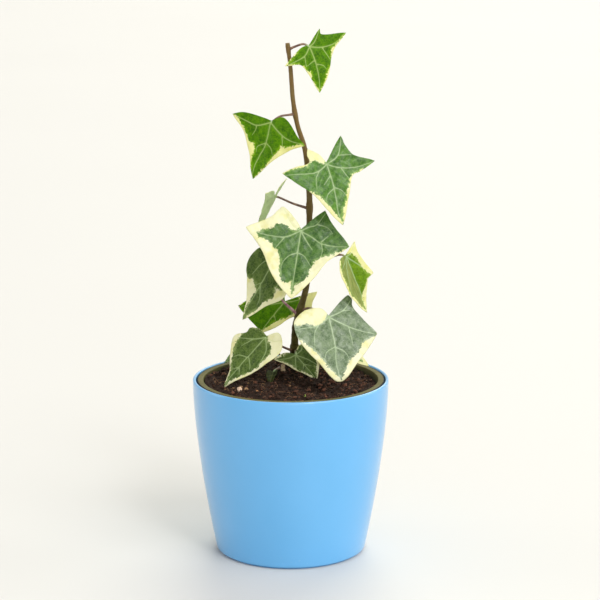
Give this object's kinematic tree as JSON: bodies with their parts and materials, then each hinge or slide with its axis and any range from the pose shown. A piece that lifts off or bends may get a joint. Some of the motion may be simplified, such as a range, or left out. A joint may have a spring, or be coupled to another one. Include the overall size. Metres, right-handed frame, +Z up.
{
  "type": "potted ivy",
  "caption": "Young upright variegated ivy with lobed cream-edged leaves on one stem, rooted in soil in a grow pot that stands inside a round tapered plastic planter.",
  "frame": {"origin": "centre of the planter's foot, on the surface that it stands on", "axes": "+Z up along the planter's axis, -Y towards the side that most leaves face"},
  "size_m": [0.11, 0.11, 0.2949],
  "materials": {
    "pot": "satin",
    "inner_pot": "satin",
    "soil": "matte",
    "stem": "satin",
    "leaf": "satin",
    "dry_bark": "matte",
    "grit": "matte"
  },
  "bodies": {
    "root": {"pot": "pot", "inner_pot": "inner_pot", "soil": "soil", "stem": "stem", "leaf_top": "leaf", "leaf_upper_left": "leaf", "leaf_upper_right": "leaf", "leaf_side_on": "leaf", "leaf_centre": "leaf", "leaf_right": "leaf", "leaf_left": "leaf", "leaf_behind": "leaf", "leaf_lower_right": "leaf", "leaf_lower_left": "leaf", "leaf_front": "leaf", "leaf_rear_right": "leaf", "leaf_rear_left": "leaf", "leaf_on_soil": "leaf", "stem_stub": "dry_bark", "sprout": "leaf", "pale_grit": "grit", "bark_chip_1": "dry_bark", "bark_chip_2": "dry_bark", "bark_chip_3": "dry_bark"}
  },
  "joints": []
}
